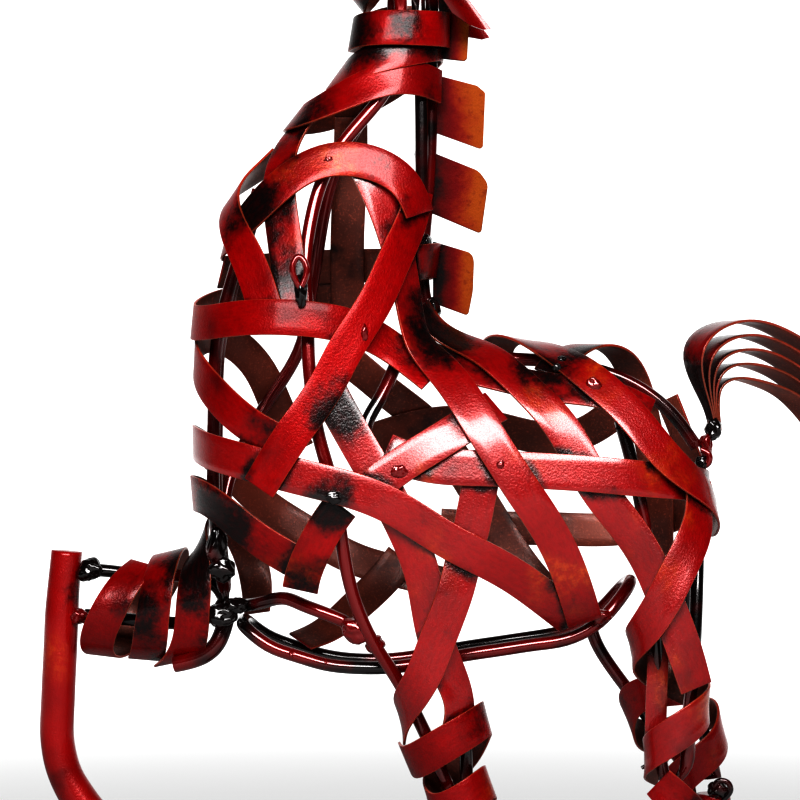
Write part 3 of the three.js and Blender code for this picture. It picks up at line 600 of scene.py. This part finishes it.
def bake_modifiers(piece):
    """Puts the modifiers' result in the mesh, so that attributes can follow the fine shape."""
    graph = bpy.context.evaluated_depsgraph_get()
    rough = piece.data
    piece.data = bpy.data.meshes.new_from_object(piece.evaluated_get(graph), depsgraph=graph)
    piece.modifiers.clear()
    bpy.data.meshes.remove(rough)


def smooth_shading(piece):
    """Shades every face of a piece smooth."""
    piece.data.polygons.foreach_set("use_smooth", [True] * len(piece.data.polygons))


def join_body(piece, node):
    """Fixes a finished piece to the frame in place of its node."""
    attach(piece, "root")
    if node:
        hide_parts(node)


# ---- soot and painted shade: where black was sprayed, and shade painted beside crossing pieces ----
# Joints that are black all round, in millimetres from the part's origin: middle and reach.
SOOTY_JOINTS = [
    ((-33, -27, 226), 12), ((-25, -30, 166), 12), ((-22, -28, 188), 15), ((-57, 0, 150), 24),
    ((-56, 0, 133), 14), ((-40, -22, 186), 12), ((2, -14, 206), 20), ((30, -18, 200), 16),
    ((62, -8, 188), 18), ((-5, -10, 215), 14), ((-20, -8, 290), 14), ((-45, -12, 240), 16),
    ((-52, -14, 160), 20), ((-30, -20, 145), 12), ((-94, 10, 140), 10), ((-75, 4, 135), 14),
    ((72, -8, 165), 14), ((68, -18, 85), 10), ((-36, -18, 268), 12), ((40, -12, 207), 12),
    ((-7, -14, 291), 9), ((-50, -8, 262), 14), ((58, -18, 130), 12), ((8, -18, 112), 12),
]


# Painted shade: a piece is darkened within the contact reach of another piece, more where that piece lies
# over it.
UNDER_SHARE = 0.45
CONTACT_SOOT_AND_SHADE = 0.85
JOINT_SOOT = 1.15
CONTACT_REACH = 3.6 * MM


class Contacts:
    """Nearest places of the frame's other pieces."""

    def __init__(self):
        self.trees = {}
        for name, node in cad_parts.items():
            mesh = node.data
            low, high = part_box(name)
            points = [v.co for v in mesh.vertices]
            faces = [tuple(p.vertices) for p in mesh.polygons]
            self.trees[name] = (low, high, BVHTree.FromPolygons(points, faces))

    def near(self, node, point, normal, reach):
        """How closely another piece lies over a point, from 0 to 1; one that lies under it counts less."""
        best = 0.0
        for name, (low, high, tree) in self.trees.items():
            if name == node:
                continue
            if any(point[i] < low[i] - reach or point[i] > high[i] + reach for i in range(3)):
                continue
            place, _, _, distance = tree.find_nearest(point, reach)
            if place is None:
                continue
            weight = 1.0 if (place - point).dot(normal) > 0 else UNDER_SHARE
            best = max(best, weight * (1 - distance / reach))
        return best


def add_soot_and_shade(piece, node, contacts):
    """Writes the soot attribute: sprayed black near joints, and painted shade beside pieces that cross, most
    where they lie over it.
    """
    mesh = piece.data
    values = []
    for vertex in mesh.vertices:
        # painted shade beside and under the crossing pieces
        value = CONTACT_SOOT_AND_SHADE * contacts.near(node, vertex.co, vertex.normal, CONTACT_REACH)
        for place, size in SOOTY_JOINTS:
            distance = (vertex.co - at(*place)).length
            value = max(value, JOINT_SOOT * (1 - distance / (size * MM)))
        values.append(value)
    attribute = mesh.attributes.new("soot", "FLOAT", "POINT")
    attribute.data.foreach_set("value", values)


# ---- strips ----
TAIL_WELD = (77, 1, 183.5)
TAIL_GATHER = 26.4 * MM
TAIL_PULL = 1.3
TAIL_PULL_LIMIT = 0.7


def make_strip(node, outer, inner, contacts):
    """One bent strip, made from the outer face of its node."""
    bm = strip_sheet(node)
    if node in TAIL:
        gather_root(bm)
    finish_strip(bm, node, node + "_finished", outer, inner, contacts)


def gather_root(bm):
    """Draws the roots of the tail strips together to the place where they are welded."""
    root = at(*TAIL_WELD)
    for v in bm.verts:
        share = 1 - (v.co - root).length / TAIL_GATHER
        if share > 0:
            v.co = v.co.lerp(Vector((root.x, root.y, v.co.z)), min(TAIL_PULL_LIMIT, TAIL_PULL * share))


def finish_strip(bm, node, name, outer, inner, contacts):
    """Smooths a strip's ladder of quads, then gives it its thickness and rounded edges."""
    lay_out(bm)
    even_out(bm)
    hold_shape(bm)
    piece = to_object(bm, name)
    add_subdivision(piece, sizes().smoothness)
    bake_modifiers(piece)
    add_soot_and_shade(piece, node, contacts)
    piece.data.materials.append(finish(outer))
    piece.data.materials.append(finish(inner))
    thick = piece.modifiers.new("thickness", "SOLIDIFY")
    thick.thickness = sizes().strip_thickness
    thick.offset = -1.0
    thick.use_even_offset = True
    thick.material_offset = 1
    thick.material_offset_rim = 0
    add_rounding(piece, sizes().edge_round, 2)
    smooth_shading(piece)
    join_body(piece, node)


def ladder(points, width, across):
    """A one-wide ladder of quads through points, its rungs lying along across."""
    bm = bmesh.new()
    half = Vector(across).normalized() * width / 2
    ends = [bm.verts.new(at(*points[0]) + half), bm.verts.new(at(*points[0]) - half)]
    edge = bm.edges.new(ends)
    for near, far in zip(points, points[1:]):
        made = bmesh.ops.extrude_edge_only(bm, edges=[edge])["geom"]
        bmesh.ops.translate(bm, verts=[v for v in made if isinstance(v, bmesh.types.BMVert)],
                            vec=at(*far) - at(*near))
        edge = next(e for e in made if isinstance(e, bmesh.types.BMEdge)
                    and all(v in made for v in e.verts))
    bm.normal_update()
    return bm


class HORSE_OT_strips(bpy.types.Operator):
    """Make the woven strips of the trunk, neck, head and upper legs"""
    bl_idname = "horse.strips"
    bl_label = "Woven strips"

    def execute(self, context):
        contacts = Contacts()
        for node in STRIPS:
            if node in DARK_STRIPS:
                make_strip(node, "dark outer", "dark inner", contacts)
            elif node in CALM_STRIPS:
                make_strip(node, "calm outer", "strip inner", contacts)
            elif node in DEEP_AND_SHADED_STRIPS:
                make_strip(node, "deep outer", "strip inner", contacts)
            else:
                make_strip(node, "strip outer", "strip inner", contacts)
        return {"FINISHED"}


class HORSE_OT_tail(bpy.types.Operator):
    """Make the five nested strips of the tail"""
    bl_idname = "horse.tail"
    bl_label = "Tail"

    def execute(self, context):
        contacts = Contacts()
        for node in TAIL:
            make_strip(node, "tail outer", "tail inner", contacts)
        return {"FINISHED"}


# ---- rods and tubes ----
def make_round(node, material, contacts):
    """One bent rod or tube: the node's rings smoothed to a true round."""
    bm = merged_copy(node)
    bm.normal_update()
    bmesh.ops.join_triangles(bm, faces=bm.faces[:], angle_face_threshold=RING_ANGLE,
                             angle_shape_threshold=math.radians(180))
    crease = bm.edges.layers.float.new("crease_edge")
    for edge in bm.edges:
        edge[crease] = 1.0 if is_sharp(edge) else 0.0
    hold_shape(bm)
    piece = to_object(bm, node + "_finished")
    add_subdivision(piece, sizes().smoothness)
    bake_modifiers(piece)
    add_soot_and_shade(piece, node, contacts)
    piece.data.materials.append(finish(material))
    smooth_shading(piece)
    join_body(piece, node)


class HORSE_OT_rods(bpy.types.Operator):
    """Make the round rods of the frame"""
    bl_idname = "horse.rods"
    bl_label = "Frame rods"

    def execute(self, context):
        contacts = Contacts()
        for node in RODS:
            make_round(node, "red rod" if node == "neck_rod" else "rod", contacts)
        return {"FINISHED"}


class HORSE_OT_legs(bpy.types.Operator):
    """Make the four lower legs"""
    bl_idname = "horse.legs"
    bl_label = "Lower legs"

    def execute(self, context):
        contacts = Contacts()
        for node in LEGS:
            make_round(node, "leg", contacts)
        return {"FINISHED"}


# ---- welds and small wires ----
FRONT_REACH = 100
WELD_SEED = (3.7, 1.3, 0.7)
WELD_LUMPS = ((1.3, 0.34), (3.4, 0.12))
# Weld beads, in millimetres from the part's origin: middle, half sizes, finish. None stands for the surface.
WELDS = [
    ((-24.7, None, 166.2), (1.9, 1.0, 1.7), "weld"), ((-26.6, None, 254.6), (1.2, 0.7, 0.7), "red weld"),
    ((-19.2, -18.5, 131.4), (4.2, 3.2, 3.6), "red weld"),
    ((-14.5, -18.5, 127.5), (2.4, 2.6, 2.4), "red weld"), ((-57, -5.5, 152), (2.9, 2.6, 5.6), "weld"),
    ((-55.5, -6.5, 146.5), (3.4, 2.6, 3.0), "weld"), ((-55.8, -5.0, 134), (4.0, 2.8, 3.2), "weld"),
    ((-52.0, -5.0, 136.6), (3.0, 2.4, 2.2), "weld"), ((-33.4, -28.6, 219.5), (1.7, 1.8, 4.4), "weld"),
    ((-93, 9.5, 145.3), (3.4, 3.0, 2.9), "weld"), ((-96, 9.5, 132.6), (2.2, 2.6, 2.2), "red weld"),
    ((-7.6, None, 172.8), (2.1, 0.8, 1.9), "red weld"),
    ((-17, None, 208.6), (0.9, 1.1, 2.3), "red weld"), ((34.8, None, 201.8), (1.6, 1.2, 1.3), "weld"),
    ((42.8, None, 195.4), (1.9, 1.2, 1.9), "red weld"),
    ((44.8, -14.6, 134.4), (3.0, 2.2, 1.9), "red weld"),
    ((-36.5, -12.6, 124.4), (1.2, 1.6, 1.5), "red weld"),
    ((-27.6, -12.6, 121.6), (1.3, 1.6, 1.5), "red weld"), ((76.6, 0.8, 184.0), (2.2, 3.0, 3.2), "weld"),
    ((74.6, 0.4, 179.6), (1.7, 2.4, 3.4), "red weld"), ((-1.2, -5, 233.0), (1.9, 3.0, 3.0), "weld"),
    ((0.4, -2, 216.0), (2.2, 4.2, 3.4), "weld"), ((-2.8, -3.5, 257.0), (1.4, 3.0, 2.6), "weld"),
    ((-2.4, -4.6, 281.0), (1.6, 2.8, 2.0), "weld"), ((79.4, 14.0, 84.6), (2.6, 2.6, 2.6), "weld"),
    ((9.4, -15.0, 84.8), (3.6, 3.6, 2.4), "weld"), ((64.4, -16.0, 86.8), (3.8, 3.6, 2.4), "weld"),
    ((18.0, None, 174.8), (1.1, 0.9, 1.1), "red weld"),
    ((-4.6, -6.4, 247.0), (1.1, 1.4, 3.2), "red weld"), ((72.5, -7.0, 175.0), (1.6, 1.8, 2.0), "weld"),
    ((33.4, None, 200.0), (1.2, 1.0, 1.0), "weld"),
]
# Thin wires and rod ends: name, radius, finish, points in millimetres from the part's origin.
WIRES = [
    ("neck_loop", 0.85, "red weld", [
        (-33.6, -29.4, 220.4), (-35.4, -29.6, 223.2), (-35.6, -29.4, 226.4), (-34.0, -29.2, 228.8),
        (-32.2, -29.4, 227.0), (-31.6, -29.6, 223.6), (-33.2, -29.8, 220.6),
    ]),
    ("fore_hook", 2.3, "rod", [
        (-55.0, 1.0, 133.0), (-56.0, 0.0, 128.5), (-58.6, -0.5, 124.2), (-63.5, 0.0, 121.4),
        (-69.0, 1.0, 120.4),
    ]),
    ("hind_hook", 0.9, "red weld", [
        (72.6, -7.0, 178.4), (74.2, -7.6, 177.8), (74.8, -7.6, 176.0), (74.0, -7.4, 174.2),
        (72.4, -7.0, 174.0),
    ]),
    ("wire_nub", 0.5, "rod", [
        (59.4, -15.0, 96.0), (57.6, -16.0, 95.6), (55.8, -16.4, 94.6),
    ]),
    ("hock_curl", 0.8, "weld", [
        (80.6, 13.0, 82.0), (83.0, 12.6, 84.0), (82.2, 12.4, 87.0), (79.4, 12.6, 87.6),
        (77.8, 12.8, 85.4), (79.2, 13.0, 83.0),
    ]),
]


def front_of(x, z, contacts):
    """The y of the outermost piece on the near side at x, z, in millimetres."""
    start = at(x, -FRONT_REACH, z)
    hits = [tree.ray_cast(start, Vector((0, 1, 0)))[0] for _, _, tree in contacts.trees.values()]
    return min((hit.y - ORIGIN.y) / MM for hit in hits if hit)


def make_weld(index, middle, half, material, contacts):
    """One bead of weld metal: a lumpy drop, on the outermost piece if its depth is left open."""
    x, y, z = middle
    if y is None:
        middle = (x, front_of(x, z, contacts), z)
    bm = bmesh.new()
    bmesh.ops.create_icosphere(bm, subdivisions=4, radius=1.0)
    seed = index * Vector(WELD_SEED)
    for v in bm.verts:
        lumps = sum(noise.noise(v.co * pitch + seed) * height for pitch, height in WELD_LUMPS)
        v.co = v.co * (1 + lumps)
        v.co = Vector(c * h * MM * sizes().weld_size for c, h in zip(v.co, half)) + at(*middle)
    piece = to_object(bm, f"weld_bead_{index + 1}")
    piece.data.materials.append(finish(material))
    smooth_shading(piece)
    join_body(piece, None)


def make_wire(name, radius, material, points):
    """A short bent wire with closed ends."""
    curve = bpy.data.curves.new(name, "CURVE")
    curve.dimensions = "3D"
    curve.bevel_depth = radius * MM
    curve.bevel_resolution = 4
    curve.use_fill_caps = True
    spline = curve.splines.new("NURBS")
    spline.points.add(len(points) - 1)
    for point, place in zip(spline.points, points):
        point.co = (*at(*place), 1.0)
    spline.use_endpoint_u = True
    spline.order_u = 3
    spline.resolution_u = 8
    shaped = bpy.data.objects.new(name + "_curve", curve)
    mesh = bpy.data.meshes.new_from_object(shaped)
    bpy.data.objects.remove(shaped)
    piece = bpy.data.objects.new(name, mesh)
    bpy.context.scene.collection.objects.link(piece)
    piece.data.materials.clear()
    piece.data.materials.append(finish(material))
    smooth_shading(piece)
    join_body(piece, None)


class HORSE_OT_welds(bpy.types.Operator):
    """Make the weld beads, rod ends and wire curls"""
    bl_idname = "horse.welds"
    bl_label = "Welds and wires"

    def execute(self, context):
        contacts = Contacts()
        for index, (middle, half, material) in enumerate(WELDS):
            make_weld(index, middle, half, material, contacts)
        for name, radius, material, points in WIRES:
            make_wire(name, radius, material, points)
        return {"FINISHED"}


HOCK_STRIP = [
    (60.0, -18.6, 129), (59.8, -19.4, 121), (59.4, -19.4, 113), (59.2, -19.2, 105), (59.2, -19.0, 100),
]
HOCK_STRIP_WIDTH = 5.6 * MM


class HORSE_OT_hock_strip(bpy.types.Operator):
    """Make the short upright strip inside the wraps of the near hind leg"""
    bl_idname = "horse.hock_strip"
    bl_label = "Hock strip"

    def execute(self, context):
        bm = ladder(HOCK_STRIP, HOCK_STRIP_WIDTH, (1, 0, 0))
        for face in bm.faces:
            if face.normal.y > 0:
                face.normal_flip()
        finish_strip(bm, None, "hock_strip", "strip outer", "strip inner", Contacts())
        return {"FINISHED"}


# ---- mane, ears and base plate ----
MANE_REACH = 3.2 * MM
EAR_TIP = (16.2, 0, 290.8)
EAR_ROOT = (3.0, 0, 309.5)
EAR_WIDTH = 9 * MM
EAR_CURL = 3.0 * MM
EAR_CUTS = 8
EAR_SPAN = 0.6
EAR_ROUND = 0.15 * MM
MANE_CORNER = 1.2 * MM
PLATE_WAY = 0.7
PLATE_ROUND = 0.2 * MM
BASE_ROUND = 0.6 * MM


def make_plate(node, material, edge, corner=0.0):
    """A flat plate: the node's outline with its faces made whole and its edges rounded."""
    bm = merged_copy(node)
    bmesh.ops.dissolve_limit(bm, angle_limit=FLAT_ANGLE, verts=bm.verts[:], edges=bm.edges[:])
    layer = bm.verts.layers.float.new("free_edge")
    low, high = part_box(node)
    if corner:
        for v in bm.verts:
            if v.co.x < (low.x + high.x) / 2:
                v.co.x -= MANE_REACH
        sharp = [e for e in bm.edges if e.verts[0].co.x > (low.x + high.x) / 2
                 and abs((e.verts[0].co - e.verts[1].co).normalized().y) > PLATE_WAY]
        bmesh.ops.bevel(bm, geom=sharp, offset=corner, segments=6, profile=0.5, affect="EDGES",
                        material=-1, clamp_overlap=True)
    for v in bm.verts:
        v[layer] = (v.co.x - low.x) / (high.x - low.x)
    piece = to_object(bm, node + "_finished")
    add_rounding(piece, edge, 3)
    piece.data.materials.append(finish(material))
    join_body(piece, node)


class HORSE_OT_mane(bpy.types.Operator):
    """Make the four plates of the mane"""
    bl_idname = "horse.mane"
    bl_label = "Mane plates"

    def execute(self, context):
        for node in MANE:
            make_plate(node, "mane", PLATE_ROUND, MANE_CORNER)
        return {"FINISHED"}


def make_ear(node, side):
    """A leaf-shaped ear, its two edges curled outwards from the line between root and tip."""
    bm = merged_copy(node)
    bmesh.ops.dissolve_limit(bm, angle_limit=FLAT_ANGLE, verts=bm.verts[:], edges=bm.edges[:])
    tip, root = at(*EAR_TIP), at(*EAR_ROOT)
    axis = (root - tip).normalized()
    across = axis.cross(Vector((0, 1, 0)))
    for way, reach in ((axis, (root - tip).length), (across, EAR_WIDTH)):
        for step in range(-EAR_CUTS, EAR_CUTS + 1):
            place = (tip + root) / 2 + way * reach * EAR_SPAN * step / EAR_CUTS
            whole = bm.verts[:] + bm.edges[:] + bm.faces[:]
            bmesh.ops.bisect_plane(bm, geom=whole, plane_co=place, plane_no=way)
    for v in bm.verts:
        away = abs((v.co - tip).dot(across)) / (EAR_WIDTH / 2)
        v.co.y += side * EAR_CURL * away ** 2
    piece = to_object(bm, node + "_finished")
    piece.data.materials.append(finish("ear"))
    add_rounding(piece, EAR_ROUND, 2)
    smooth_shading(piece)
    piece.data.set_sharp_from_angle(angle=CREASE_ANGLE)
    join_body(piece, node)


class HORSE_OT_ears(bpy.types.Operator):
    """Make the two ears"""
    bl_idname = "horse.ears"
    bl_label = "Ears"

    def execute(self, context):
        make_ear("near_ear", -1)
        make_ear("far_ear", 1)
        return {"FINISHED"}


class HORSE_OT_base(bpy.types.Operator):
    """Make the base plate"""
    bl_idname = "horse.base"
    bl_label = "Base plate"

    def execute(self, context):
        make_plate("base_plate", "base", BASE_ROUND)
        return {"FINISHED"}


# ---- stage ----
CAMERA_Y = -680
CAMERA_HEIGHT = 181
FOCAL_LENGTH = 113.33
SENSOR = 36.0
FRAME_SHIFT = (-0.0375, 0.05)
FLOOR_RADIUS = 4.0
FLOOR_FADE = (0.5, 1.3)
FLOOR_GREY = ((0.50, 0.50, 0.50, 1), (0.52, 0.52, 0.52, 1))
FLOOR_SHOWN = 0.38
EXPOSURE = 0.60
GAMMA = 0.60
CLIP = (0.01, 20)
FRONT_LIGHT = 0.004
BACK_LIGHT = 0.8
BACK_SPREAD = (0.25, 0.95)
LIT_HEIGHT = 175
# Soft lights: name, azimuth and elevation seen from the sculpture, distance, size, power.
LIGHTS = [
    ("key softbox", 1, 30, 0.9, (0.90, 0.30), 12.5),
]


def area_light(name, place, target, size, power):
    """A soft rectangular light that looks at target."""
    data = bpy.data.lights.new(name, "AREA")
    data.shape = "RECTANGLE"
    data.size, data.size_y = size
    data.energy = power
    made = bpy.data.objects.new(name, data)
    made.location = place
    made.rotation_euler = (Vector(target) - Vector(place)).to_track_quat("-Z", "Y").to_euler()
    bpy.context.scene.collection.objects.link(made)


def floor_finish():
    """Pale floor that fades into the white of the studio far from the sculpture."""
    material, tree, shader = new_material("Pale floor")
    place = add_node(tree, "ShaderNodeTexCoord").outputs["Object"]
    grain = noise_node(tree, place, 12.0)
    away = add_node(tree, "ShaderNodeVectorMath", {0: place}, operation="LENGTH").outputs["Value"]
    far = ramp(tree, away, FLOOR_FADE[0], FLOOR_FADE[1])
    pale = mix_colour(tree, grain, *FLOOR_GREY)
    seen = add_node(tree, "ShaderNodeLightPath").outputs["Is Camera Ray"]
    lift = add_node(tree, "ShaderNodeMix", {0: seen, 2: 0.0, 3: FLOOR_SHOWN}).outputs[0]
    glow = add_node(tree, "ShaderNodeCombineColor", {0: lift, 1: lift, 2: lift}).outputs[0]
    set_shader(tree, shader, {
        "Base Color": mix_colour(tree, far, pale, (0, 0, 0, 1)), "Roughness": 0.9, "Specular IOR Level": 0.0,
        "Emission Color": mix_colour(tree, far, glow, (1, 1, 1, 1)), "Emission Strength": 1.0})
    return material


def studio_world():
    """White all round to the camera; as light it is bright behind the sculpture and dark in front of it."""
    world = bpy.data.worlds.new("Studio")
    world.use_nodes = True
    tree = world.node_tree
    tree.nodes.clear()
    way = add_node(tree, "ShaderNodeTexCoord").outputs["Generated"]
    behind = add_node(tree, "ShaderNodeSeparateXYZ", {0: way}).outputs["Y"]
    light = add_node(tree, "ShaderNodeMapRange", {
        "Value": behind, "From Min": BACK_SPREAD[0], "From Max": BACK_SPREAD[1],
        "To Min": FRONT_LIGHT, "To Max": BACK_LIGHT},
        interpolation_type="SMOOTHSTEP").outputs["Result"]
    seen = add_node(tree, "ShaderNodeLightPath").outputs["Is Camera Ray"]
    strength = add_node(tree, "ShaderNodeMix", {0: seen, 2: light, 3: 1.0}).outputs[0]
    background = add_node(tree, "ShaderNodeBackground", {"Color": (1, 1, 1, 1), "Strength": strength})
    add_node(tree, "ShaderNodeOutputWorld", {"Surface": background.outputs[0]})
    return world


class HORSE_OT_stage(bpy.types.Operator):
    """Make the floor, the backdrop, the lights and the camera"""
    bl_idname = "horse.stage"
    bl_label = "Stage"

    def execute(self, context):
        scene = context.scene
        bm = bmesh.new()
        bmesh.ops.create_circle(bm, cap_ends=True, segments=64, radius=FLOOR_RADIUS)
        floor = to_object(bm, "studio_floor")
        floor.data.materials.append(floor_finish())
        scene.world = studio_world()
        middle = at(0, 0, LIT_HEIGHT)
        for name, azimuth, elevation, distance, size, power in LIGHTS:
            a, e = math.radians(azimuth), math.radians(elevation)
            way = Vector((math.sin(a) * math.cos(e), -math.cos(a) * math.cos(e), math.sin(e)))
            area_light(name, middle + way * distance, middle, size, power)
        data = bpy.data.cameras.new("camera")
        camera = bpy.data.objects.new("camera", data)
        scene.collection.objects.link(camera)
        camera.location = at(0, CAMERA_Y, CAMERA_HEIGHT)
        camera.rotation_euler = (math.radians(90), 0, 0)
        data.sensor_width = SENSOR
        data.lens = FOCAL_LENGTH
        data.shift_x, data.shift_y = FRAME_SHIFT
        data.clip_start, data.clip_end = CLIP
        scene.camera = camera
        scene.view_settings.view_transform = "Standard"
        scene.view_settings.exposure = EXPOSURE
        scene.view_settings.gamma = GAMMA
        return {"FINISHED"}


class HORSE_PT_panel(bpy.types.Panel):
    """Lists the makers of the sculpture"""
    bl_idname = "HORSE_PT_panel"
    bl_label = "Woven strip horse"
    bl_space_type = "VIEW_3D"
    bl_region_type = "UI"
    bl_category = "Horse"

    def draw(self, context):
        for group in (context.scene.horse_sizes, context.scene.horse_colours):
            for name in group.__annotations__:
                self.layout.prop(group, name)
        for maker in OPERATORS:
            self.layout.operator(maker.bl_idname)


OPERATORS = (HORSE_OT_strips, HORSE_OT_tail, HORSE_OT_rods, HORSE_OT_legs, HORSE_OT_welds,
             HORSE_OT_hock_strip, HORSE_OT_mane, HORSE_OT_ears, HORSE_OT_base, HORSE_OT_stage)
CLASSES = (HorseSizes, HorseColours, *OPERATORS, HORSE_PT_panel)


def register():
    for made in CLASSES:
        bpy.utils.register_class(made)
    bpy.types.Scene.horse_sizes = PointerProperty(type=HorseSizes)
    bpy.types.Scene.horse_colours = PointerProperty(type=HorseColours)


def unregister():
    del bpy.types.Scene.horse_colours
    del bpy.types.Scene.horse_sizes
    for made in reversed(CLASSES):
        bpy.utils.unregister_class(made)


def main():
    register()
    for maker in OPERATORS:
        getattr(bpy.ops.horse, maker.bl_idname.split(".")[1])()


if __name__ == "__main__":
    main()
